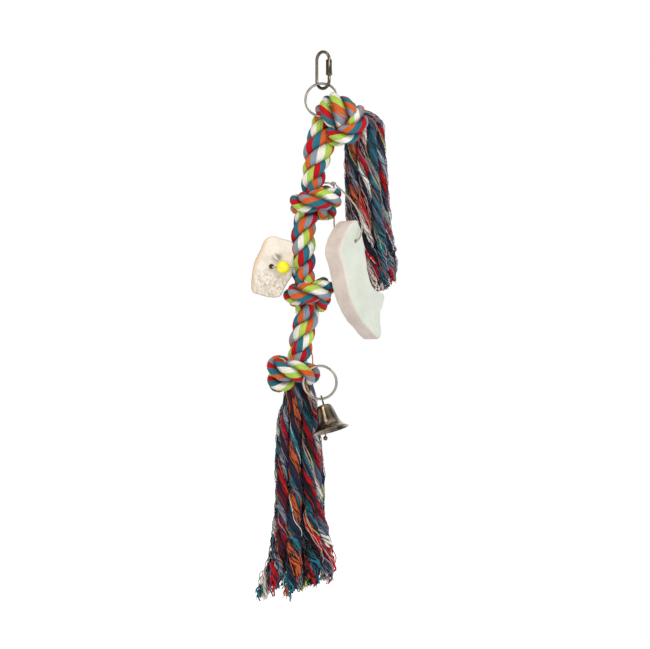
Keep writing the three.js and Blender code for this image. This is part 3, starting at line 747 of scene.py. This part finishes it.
def smooth_run(rows, step):
    """Evenly spaced points on a smooth curve through the rows, and the run at which it passes each row."""
    rows = np.array(rows, float)
    padded = np.vstack([2 * rows[0] - rows[1], rows, 2 * rows[-1] - rows[-2]])
    fine = 24
    dense = []
    for p0, p1, p2, p3 in zip(padded, padded[1:], padded[2:], padded[3:]):
        gaps = [np.linalg.norm(b[:3] - a[:3]) ** 0.5 for a, b in ((p0, p1), (p1, p2), (p2, p3))]
        t0, t1, t2, t3 = np.cumsum([0, *gaps])
        t = np.linspace(t1, t2, fine, endpoint=False)[:, None]
        a1 = (t1 - t) / (t1 - t0) * p0 + (t - t0) / (t1 - t0) * p1
        a2 = (t2 - t) / (t2 - t1) * p1 + (t - t1) / (t2 - t1) * p2
        a3 = (t3 - t) / (t3 - t2) * p2 + (t - t2) / (t3 - t2) * p3
        b1 = (t2 - t) / (t2 - t0) * a1 + (t - t0) / (t2 - t0) * a2
        b2 = (t3 - t) / (t3 - t1) * a2 + (t - t1) / (t3 - t1) * a3
        dense.append((t2 - t) / (t2 - t1) * b1 + (t - t1) / (t2 - t1) * b2)
    dense = np.vstack([*dense, rows[-1:]])
    gone = np.concatenate([[0], np.cumsum(np.linalg.norm(np.diff(dense[:, :3], axis=0), axis=1))])
    even = np.linspace(0, gone[-1], max(4, round(gone[-1] / step)) + 1)
    points = np.column_stack([np.interp(even, gone, dense[:, k]) for k in range(rows.shape[1])])
    return [tuple(p) for p in points], gone[::fine]


# Rope

def knot_rows(spec):
    """An overhand knot's rows: the half knot, and its copy turned half round about X."""
    spin = Matrix.Rotation(math.radians(spec["turn"]), 3, "Z")
    first = 1 if spec["flip"] < 0 else -1

    def place(point, twin):
        x, y, z = point
        offset = Vector((x, twin * y, spec["flip"] * twin * z)) * (spec["rope"] * spec["tight"])
        return (*(spin @ offset + Vector(spec["at"])), KNOT_YARN_R)

    return [place(p, first) for p in reversed(HALF_KNOT)] + [place(p, -first) for p in HALF_KNOT[1:]]


def rope_route():
    """The whole rope from the upper tassel to the lower one, and the run at the middle of each knot."""
    rows = [(x, y, z, r * HITCH_FULL) for x, y, z, r in reversed(HITCH)] + UPPER_STRETCH[1:]
    middles = []
    for spec, stretch in ((UPPER_KNOT, MIDDLE_STRETCH), (MIDDLE_KNOT, LOWER_STRETCH), (LOWER_KNOT, [])):
        middles.append(len(rows) + len(HALF_KNOT) - 1)
        rows += knot_rows(spec) + stretch
    rows.append((*LOWER_ROOT, LOWER_KNOT["rope"] / 2))
    rows = [(x, y, z, r * ROPE_FULL) for x, y, z, r in rows]
    points, runs = smooth_run(rows, ROPE_STEP)
    return points, [runs[i] for i in middles], runs[-1]


PLAIN_YARN = {
    "Yarns a colour": 1.0, "Colour step": 0.0, "Thin size": 1.0, "Mixed": 0.0, "Darks": 0.0, "Wander": 0.0,
    "Fray": 0.0, "Fray from": 0.9, "Uneven": 0.0, "From": -1.0, "To": 9.0, "Sides": 7,
}
ROPE_YARN = {
    **PLAIN_YARN, "Strands": 3, "Yarns": 12, "Lay": 0.046, "Yarn turns": -3.0, "Strand offset": 0.54,
    "Yarn offset": 0.37, "Yarn size": 0.122, "Yarns a colour": 3.0, "Colour step": 6.0, "Wander": 0.0007,
    "Seed": 1,
}
LOCK_YARN = {
    **PLAIN_YARN, "Strands": 3, "Yarns": 8, "Lay": -0.046, "Yarn turns": 2.2, "Strand offset": 0.5,
    "Yarn offset": 0.32, "Yarn size": 0.15, "Thin size": 0.85, "Mixed": 1.0, "Darks": 1.0, "Wander": 0.0025,
    "Fray": 0.012, "Fray from": 0.6, "Uneven": 0.06, "Sides": 5,
}
THREAD_YARN = {
    **LOCK_YARN, "Strands": 9, "Yarns": 2, "Lay": -0.07, "Strand offset": 0.85, "Yarn offset": 0.12,
    "Yarn size": 0.065, "Fray from": 0.55, "Darks": 2.0, "Sides": 4,
}
CORD_YARN = {
    **PLAIN_YARN, "Strands": 3, "Yarns": 2, "Lay": 0.006, "Yarn turns": -1.9, "Strand offset": 0.46,
    "Yarn offset": 0.2, "Yarn size": 0.34, "Seed": 5,
}
SEAM = 0.001  # overlap of two lengths of rope inside a knot


def make_rope(tree, finish):
    """The rope in three lengths, each with its run, its two bodies, where it bends and what it stands for."""
    points, middles, end = rope_route()
    lengths = [
        ("rope_upper", -1.0, middles[0] + SEAM, "hitch", "upper_rope", UPPER_STRETCH, -0.086, -0.1,
         ("hitch_knot", "upper_stretch", "upper_knot")),
        ("rope_middle", middles[0] - SEAM, middles[1] + SEAM, "upper_rope", "middle_rope", MIDDLE_STRETCH,
         -0.153, -0.166, ("middle_stretch", "middle_knot")),
        ("rope_lower", middles[1] - SEAM, end + 1.0, "middle_rope", "lower_rope", LOWER_STRETCH,
         -0.238, -0.25, ("lower_stretch", "lower_knot")),
    ]
    for name, start, stop, above, below, stretch, high, low, nodes in lengths:
        values = {**ROPE_YARN, "From": start, "To": stop, "Material": finish}
        rope = grown(name, lines_mesh([points]), tree, values)
        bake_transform(rope)
        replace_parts(rope, *nodes)


def make_loose_yarn(tree):
    """One yarn that has come out of the rope above the lowest knot and is caught under it."""
    points = smooth_run([(*p, LOOSE_YARN_R) for p in LOOSE_YARN], LOOSE_YARN_STEP)[0]
    values = {**CORD_YARN, "Material": spun_cotton("red_yarn", RED)}
    yarn = grown("loose_yarn", lines_mesh([points]), tree, values)
    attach(yarn, "lower_rope")


def tassel_lines(spec):
    """A line for each bundle: it starts in the knot, follows the solid, and drifts a little on the way."""
    lines = []
    for count, share, thin in ((OUTER_BUNDLES, 1, 1), (INNER_BUNDLES, INNER_SHARE, INNER_THIN)):
        for k in range(count):
            number = len(lines) + 1
            angle = TAU * (k + 0.5) / count
            shorter = spec["uneven"] * (0.5 + 0.5 * math.sin(2.4 * number))
            radii = [max(r * BUNDLE_FULL, BUNDLE_LEAST) * thin for r in spec["bundle"]]
            inner = 0.7 * spec["circle"][0] * share
            start = Vector(spec["start"])
            down = (Vector(spec["line"][0]) - start).normalized()
            aside = Vector((-down.z, 0, down.x)) * (inner * math.cos(angle))
            start += aside + Vector((0, inner * math.sin(angle), 0))
            rows = [(*start, radii[0])]
            for i, (x, y, z) in enumerate(spec["line"]):
                out = spec["circle"][i] * share
                lift = share * spec["tilt"][i] * math.cos(angle)
                if i == len(spec["line"]) - 1:
                    lift += shorter
                rows.append((x + out * math.cos(angle), y + out * math.sin(angle), z + lift, radii[i]))
            line = []
            points = smooth_run(rows, TASSEL_STEP)[0]
            for i, (x, y, z, size) in enumerate(points):
                loose = BUNDLE_DRIFT * min(1, 2 * i / len(points))
                sway = noise.noise_vector(Vector((number * 9.7, z * BUNDLE_WAVES, 0.5))) * loose
                line.append((x + sway.x, y + sway.y, z, size))
            lines.append(line)
    return lines


def make_tassels(tree, finish):
    """Each tassel as twisted locks, with single threads over them."""
    tassels = [
        ("tassel_upper", UPPER_TASSEL, "hitch", "upper_tassel", UPPER_ROOT, 3),
        ("tassel_lower", LOWER_TASSEL, "lower_rope", "lower_tassel", LOWER_ROOT, 9),
    ]
    for name, spec, holder, body, root, seed in tassels:
        lines = lines_mesh(tassel_lines(spec))
        for kind, yarn in (("locks", LOCK_YARN), ("threads", THREAD_YARN)):
            values = {**yarn, "Seed": seed, "Material": finish}
            tassel = grown(f"{name}_{kind}", lines.copy(), tree, values)
            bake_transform(tassel)
            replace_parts(tassel, *frame["record"]["behaviour"]["bodies"][body])


# Cords

def bitten(rows, rope_x):
    """A tie's rows, drawn towards the rope's middle at all but its two ends."""
    def drawn(row, share):
        return (rope_x + (row[0] - rope_x) * share, row[1] * share, row[2])

    inner = [drawn(row, CORD_BITE) for row in rows[1:-1]]
    return [rows[0], drawn(rows[0], CORD_ENTRY), *inner, drawn(rows[-1], CORD_ENTRY), rows[-1]]


def make_cord(name, rows, tree, finish, body, node):
    """One tied cord of laid yarn."""
    points, runs = smooth_run([(*p, CORD_D / 2) for p in rows], CORD_STEP)
    cord = grown(name, lines_mesh([points]), tree, {**CORD_YARN, "Material": finish})
    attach(cord, body)
    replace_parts(cord, node)


def make_block_tie(tree, finish):
    """The small knot that joins the block's loop and its hanging cord: the cord wound round itself."""
    x, y, z = BLOCK_KNOT
    turns = 2.5
    swell = 0.0015
    half = 0.0021
    core_ends = (-0.0032, 0.0028)
    steps = 48
    wound = []
    for k in range(steps + 1):
        share = k / steps
        out = swell * (0.5 + 0.5 * math.sin(math.pi * share))
        angle = TAU * turns * share
        along = half * (2 * share - 1)
        wound.append((x + along, y + out * math.cos(angle), z + out * math.sin(angle), CORD_D / 2))
    core = [(x + along, y, z, CORD_D / 2) for along in np.linspace(*core_ends, 9)]
    tie = grown("block_cord_tie", lines_mesh([wound, core]), tree, {**CORD_YARN, "Material": finish})
    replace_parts(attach(tie, "block"), "block_cord_knot")


# Hardware

def make_link(finish):
    """The quick link: a bent wire, threaded below its gap, and the six-sided sleeve on it."""
    top = LINK_WIRE_R - LINK_HALF
    thread_long = 0.006
    thread_deep = 0.00012
    steps = 40
    bow_steps = 24
    points = [(LINK_HALF, 0, LINK_GAP[0] - thread_long * k / steps) for k in range(steps)]
    for centre, start, stop in ((top - LINK_LONG, 0, -180), (top, 180, 0)):
        for k in range(bow_steps + 1):
            angle = math.radians(start + (stop - start) * k / bow_steps)
            points.append((LINK_HALF * math.cos(angle), 0, centre + LINK_HALF * math.sin(angle)))
    points.append((LINK_HALF, 0, LINK_GAP[1]))

    def section(i):
        thread = thread_deep if i < steps and i % 4 in (1, 2) else 0
        return disc(LINK_WIRE_R - thread, 16)

    wire = Form().skin(swept(points, section, up=(0, 1, 0)))
    turn = Matrix.Rotation(math.radians(LINK_YAW), 4, "Z")
    wire = wire.object("quick_link_wire", finish, turn)
    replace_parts(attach(wire, "link"), "quick_link")

    # The sleeve: a six-sided bar, chamfered round at both ends, with a bore
    corner = SLEEVE["flats"] / math.sqrt(3)
    chamfer = 0.0006
    sides = 48

    def hexagon(limit):
        pairs = []
        for k in range(sides):
            angle = TAU * k / sides
            bay = (angle + TAU / 12) % (TAU / 6) - TAU / 12
            flat = SLEEVE["flats"] / 2 / math.cos(TAU / 12 - abs(bay))
            pairs.append((min(flat, limit) * math.cos(angle), min(flat, limit) * math.sin(angle)))
        return pairs

    low, high = SLEEVE["low"], SLEEVE["high"]
    waist = SLEEVE["flats"] / 2 - 0.0001  # the end face is a circle just inside the flats
    bore = disc(SLEEVE["bore"], sides)
    mouth = disc(SLEEVE["bore"] + chamfer / 2, sides)
    stations = [(low, mouth), (low, hexagon(waist)), (low + chamfer, hexagon(corner)),
                (high - chamfer, hexagon(corner)), (high, hexagon(waist)), (high, mouth),
                (high - chamfer, bore), (low + 3 * chamfer, bore)]
    rings = [[(LINK_HALF + a, b, z) for a, b in pairs] for z, pairs in stations]
    nut = Form().skin(rings, loop=True).object("link_sleeve_nut", finish, turn, sharp=25)
    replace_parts(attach(nut, "sleeve"), "link_sleeve")


def make_ring(name, at, start_turn, finish, body, node):
    """A split ring: a flat wire with rounded edges that goes round nearly twice."""
    points = []
    steps = 220
    begin, end = RING_TURNS
    for i in range(steps + 1):
        angle = begin + (end - begin) * i / steps
        rise = share_of(angle - RING_STEP[0], RING_STEP[1] - RING_STEP[0])
        climb = rise * rise * (3 - 2 * rise) - 0.5
        turn = math.radians(angle + start_turn)
        x = at[0] + RING_R * math.cos(turn)
        z = at[2] + RING_R * math.sin(turn)
        points.append((x, at[1] + RING_PITCH * climb, z))
    bar = rounded_bar(*RING_WIRE, RING_CORNER)
    ring = Form().skin(swept(points, bar, up=(0, 1, 0))).object(name, finish, sharp=60)
    # how near each point is to the wire's edge, where its material paints dark reflections
    reach = [abs(math.hypot(v.co.x - at[0], v.co.z - at[2]) - RING_R) for v in ring.data.vertices]
    edge = [2 * r / RING_WIRE[0] for r in reach]
    ring.data.attributes.new("edge", "FLOAT", "POINT").data.foreach_set("value", edge)
    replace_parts(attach(ring, body), node)


def make_bell(finish):
    """The bell: its cup, the eye through its crown with a hook inside, and the clapper."""
    crown = BELL_HEIGHT - BELL_WALL
    outside = [(0.017, 0), (0.0169, 0.0005), (0.0154, 0.0014), (0.0134, 0.0033), (0.0121, 0.0047),
               (0.0109, 0.0064), (0.0101, 0.0086), (0.0095, 0.0108), (0.0089, 0.0134),
               (0.0084, crown - 0.0073), (0.0079, crown - 0.005), (0.0074, crown - 0.0028),
               (0.0069, crown - 0.0012), (0.0062, crown), (0.0055, crown + 0.0005), (0.0046, crown + 0.0007),
               (0.0028, crown + 0.0009)]
    shank = 0.0008
    inside = [(r - BELL_WALL, min(h, crown - GAP)) for r, h in reversed(outside)]
    inside[-1] = (outside[0][0] - 0.0006, -0.0001)
    profile = [*outside, (shank + GAP, BELL_HEIGHT), (shank + GAP, crown), *inside]
    eye_height = BELL_HEIGHT + EYE_LOOP[0] + EYE_LOOP[1] + GAP
    lean = Vector((0, 0, -1)).rotation_difference(Vector(BELL_AXIS).normalized()).to_matrix().to_4x4()
    place = Matrix.Translation(BELL_EYE) @ lean @ Matrix.Translation((0, 0, -eye_height))
    cup = Form().skin(lathe(profile, 72), loop=True).object("bell_cup", finish, place, sharp=50)
    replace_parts(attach(cup, "bell"), "bell_shell")

    hook_height = crown - HOOK_LOOP[0] - HOOK_LOOP[1]
    eye = Form()
    for (big, small), height, across in ((EYE_LOOP, eye_height, False), (HOOK_LOOP, hook_height, True)):
        eye.skin(swept(circle(big, height, across, 40), disc(small, 12), loop=True), loop=True)
    shank_path = [(0, 0, hook_height + HOOK_LOOP[0]), (0, 0, eye_height - EYE_LOOP[0])]
    eye.skin(swept(shank_path, disc(shank, 14)))
    eye = eye.object("bell_loop", finish, place, sharp=60)
    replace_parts(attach(eye, "bell"), "bell_eye")

    pivot = place @ Vector((0, 0, hook_height - HOOK_LOOP[0]))
    big, small = CLAPPER["loop"]
    tongue = Form()
    loop_height = HOOK_LOOP[1] + small + CLAPPER["play"] - big
    tongue.skin(swept(circle(big, loop_height, False, 28), disc(small, 10), loop=True), loop=True)
    tongue.skin(swept([(0, 0, -CLAPPER["long"]), (0, 0, loop_height - big)], disc(CLAPPER["rod"], 12)))
    knob = [(CLAPPER["ball"] * math.sin(a), -CLAPPER["long"] - CLAPPER["ball"] * math.cos(a))
            for a in np.linspace(0.02, math.pi - 0.02, 22)]
    tongue.skin(lathe(knob, 32))
    tongue = tongue.object("bell_tongue", finish, Matrix.Translation(pivot), sharp=50)
    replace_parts(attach(tongue, "clapper"), "bell_clapper")


def make_bead(finish):
    """A turned bead: round, a little flat at its ends, with a bore along X."""
    radius, bore = BEAD["radius"], BEAD["bore"]
    half = radius * 0.94
    flat_end = bore + 0.0006
    countersink = 0.0005
    start = math.asin(flat_end / radius)
    outside = [(radius * math.sin(a), -half * math.cos(a) / math.cos(start))
               for a in np.linspace(start, math.pi - start, 28)]
    profile = [(bore, countersink - half), *outside, (bore, half - countersink)]
    place = Matrix.Translation(BEAD["at"]) @ Matrix.Rotation(TAU / 4, 4, "Y")
    bead = Form().skin(lathe(profile, 48), loop=True).object("bead_yellow", finish, place, sharp=45)
    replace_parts(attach(bead, "bead"), "bone_bead")


# Block and bone

BROAD_FROM = 0.55  # a face begins to count as broad at this cosine
BROAD_OVER = 0.35  # and counts fully this much further


def worn_solid(node, name, voxel, rounds, finish, front, dent):
    """A solid's shape with softened edges and a worn surface; 'broad' marks faces that look along 'front'."""
    mesh = frame["nodes"][node].data.copy()
    merged = bmesh.new()
    merged.from_mesh(mesh)
    bmesh.ops.remove_doubles(merged, verts=merged.verts, dist=1e-5)
    merged.to_mesh(mesh)
    merged.free()
    mesh.materials.clear()
    host = bpy.data.objects.new("host", mesh)
    bpy.context.scene.collection.objects.link(host)
    remesh = host.modifiers.new("voxels", "REMESH")
    remesh.voxel_size = voxel
    soften = host.modifiers.new("soften", "SMOOTH")
    soften.factor = 0.5
    soften.iterations = rounds
    piece = plain(host, name)
    mesh = piece.data
    normals = [v.normal.copy() for v in mesh.vertices]
    ahead = Vector(front).normalized()
    broad = [share_of(abs(n.dot(ahead)) - BROAD_FROM, BROAD_OVER) for n in normals]
    mesh.attributes.new("broad", "FLOAT", "POINT").data.foreach_set("value", broad)
    spongy = []
    for vertex, normal, flat in zip(mesh.vertices, normals, broad):
        depth, soft = dent(vertex.co, flat)
        vertex.co -= normal * depth
        spongy.append(soft)
    mesh.attributes.new("spongy", "FLOAT", "POINT").data.foreach_set("value", spongy)
    mesh.shade_smooth()
    mesh.materials.append(finish)
    return piece


def make_block(finish):
    """The mineral block, with a fine grain all over."""
    def dent(co, flat):
        grain = noise.noise(co * 420) * 0.00012 + noise.noise(co * 130) * 0.00025
        return grain + (1 - flat) * noise.noise(co * 900) * 0.0001, 0

    block = worn_solid("mineral_block", "mineral_block_slab", 0.0009, 5, finish, BLOCK_FRONT, dent)
    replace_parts(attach(block, "block"), "mineral_block")


def make_bone(finish):
    """The bone slice: spongy below, run on to the rope, and closed on its cord."""
    def dent(co, flat):
        under = BONE_SPONGE["top"] - co.z + noise.noise(co * 90) * BONE_SPONGE["ragged"]
        low = share_of(under, BONE_SPONGE["fade"]) * flat
        cell = 1 - min(1, noise.voronoi(co * 520)[0][0] / 0.45)
        wave = noise.noise(co * 60) * 0.0004
        return wave + low * (0.0003 + cell * 0.0005), low

    bone = worn_solid("bone_slice", "bone_slice_plate", 0.0006, 7, finish, (0, 1, 0), dent)
    cord_fit = CORD_D * 0.42
    for vertex in bone.data.vertices:
        inward = share_of(vertex.co.x - BONE_SIDE[0], BONE_FADE["across"])
        high = share_of(vertex.co.z - BONE_SIDE[1], BONE_FADE["up"])
        waist = max(0, 1 - abs(vertex.co.z - BONE_WAIST) / BONE_FADE["waist"])
        reach = BONE_REACH["everywhere"] + BONE_REACH["above"] * high + BONE_REACH["waist"] * waist
        vertex.co.x += reach * inward
        apart = Vector((vertex.co.x - BONE_HOLE[0], 0, vertex.co.z - BONE_HOLE[1]))
        if apart.length < BONE_DRAWN and vertex.co.y > BONE_FRONT:
            vertex.co -= apart * (1 - cord_fit / apart.length)
    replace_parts(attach(bone, "bone"), "bone_slice")


# Stage, light and camera

FLOOR_DROP = 0.055  # from the toy's lowest solid
FLOOR_RADIUS = 6
FLOOR_SIDES = 64
SKY_BANDS = [(0.0, 1.0), (0.16, 1.0), (0.34, 0.2), (0.7, 0.2), (0.86, 1.1)]  # height and light
LAMPS = [  # name, place from the toy's middle, size, power, colour
    ("key", (0.9, -1.9, 0.9), 0.8, 26, (1, 1, 1)),
    ("fill", (-1.0, -1.1, 1.15), 0.8, 12, (1, 0.82, 0.62)),
    ("back", (0.4, 1.6, 0.9), 1.2, 7, (1, 1, 1)),
    ("side", (1.5, 1.1, 0.6), 1.6, 10, (1, 1, 1)),
]
CAMERA_AWAY = 2.4


def make_stage():
    """A pale floor that glows a little, a sky in bands of light, and the lamps."""
    floor_z = cad_low.z - FLOOR_DROP
    ring = [(x, y, floor_z) for x, y in disc(FLOOR_RADIUS, FLOOR_SIDES)]
    mesh = bpy.data.meshes.new("floor")
    mesh.from_pydata(ring, [], [tuple(range(FLOOR_SIDES))])
    made, net, shader = material("pale_floor")
    feed(net, shader, Base_Color=(0.5, 0.5, 0.5, 1), Roughness=0.95, Emission_Color=(1, 1, 1, 1),
         Emission_Strength=0.68)
    mesh.materials.append(made)
    floor = bpy.data.objects.new("floor", mesh)
    bpy.context.scene.collection.objects.link(floor)

    world = bpy.data.worlds.new("studio")
    world.use_nodes = True
    bpy.context.scene.world = world
    net = Net(world.node_tree)
    across = net.add("ShaderNodeTexCoord", out="Generated")
    height = net.add("ShaderNodeSeparateXYZ", values={"Vector": across}, out="Z")
    stops = [(place, (light, light, light, 1)) for place, light in SKY_BANDS]
    glow = net.add("ShaderNodeValToRGB", {"stops": stops}, {"Fac": height})
    net.tree.links.new(glow.socket, world.node_tree.nodes["Background"].inputs["Color"])
    middle = (cad_low + cad_high) / 2
    for name, place, size, power, colour in LAMPS:
        lamp = bpy.data.lights.new(name, "AREA")
        lamp.energy = power
        lamp.size = size
        lamp.color = colour
        obj = bpy.data.objects.new(name, lamp)
        obj.location = middle + Vector(place)
        obj.rotation_euler = (middle - obj.location).to_track_quat("-Z", "Y").to_euler()
        bpy.context.scene.collection.objects.link(obj)


def make_camera():
    """A long lens that frames the toy as the photograph does."""
    scale = PHOTO["metres_per_pixel"]
    centre_x = (PHOTO["wide"] / 2 - PHOTO["origin"][0]) * scale
    centre_z = (PHOTO["origin"][1] - PHOTO["high"] / 2) * scale
    data = bpy.data.cameras.new("camera")
    data.sensor_width = 36
    data.lens = CAMERA_AWAY * data.sensor_width / (PHOTO["wide"] * scale)
    camera = bpy.data.objects.new("camera", data)
    camera.location = (centre_x, -CAMERA_AWAY, centre_z)
    camera.rotation_euler = (TAU / 4, 0, 0)
    bpy.context.scene.collection.objects.link(camera)
    bpy.context.scene.camera = camera
    bpy.context.scene.view_settings.view_transform = "Standard"


make_camera()
yarn_tree = laid_yarn_tree()
rope_yarn = spun_cotton("rope_yarn")
cord_yarn = spun_cotton("cord_yarn", CORD_TONE)
bone_cord_yarn = spun_cotton("bone_cord_yarn", CORD_TONE, BONE_HOLE_SHADE)
dark_nickel = polished_nickel("dark_nickel", DARK_NICKEL, 0.13)
ring_nickel = polished_nickel("ring_nickel", RING_NICKEL, 0.1)
link_steel = polished_nickel("link_steel", LINK_STEEL, 0.13)

block_loop = bitten(BLOCK_LOOP, UPPER_STRETCH[-1][0])
bone_loop = bitten(BONE_LOOP, MIDDLE_STRETCH[2][0])
make_cord("block_cord_ring", block_loop, yarn_tree, cord_yarn, "upper_rope", "block_cord_loop")
make_cord("block_cord_drop", BLOCK_CORD, yarn_tree, cord_yarn, "block", "block_cord")
make_cord("bone_cord_ring", bone_loop, yarn_tree, cord_yarn, "bone", "bone_cord_loop")
make_cord("bone_cord_thread", BONE_CORD, yarn_tree, bone_cord_yarn, "bone", "bone_cord")
make_block_tie(yarn_tree, cord_yarn)
make_rope(yarn_tree, rope_yarn)
make_loose_yarn(yarn_tree)
make_tassels(yarn_tree, rope_yarn)
make_link(link_steel)
make_ring("top_split_ring", TOP_RING, RING_START["top"], ring_nickel, "top_ring", "top_ring")
make_ring("bell_split_ring", BELL_RING, RING_START["bell"], ring_nickel, "bell_ring", "bell_ring")
make_bell(dark_nickel)
make_bead(yellow_bead())
make_block(chalky_mineral())
make_bone(dry_bone())
make_stage()
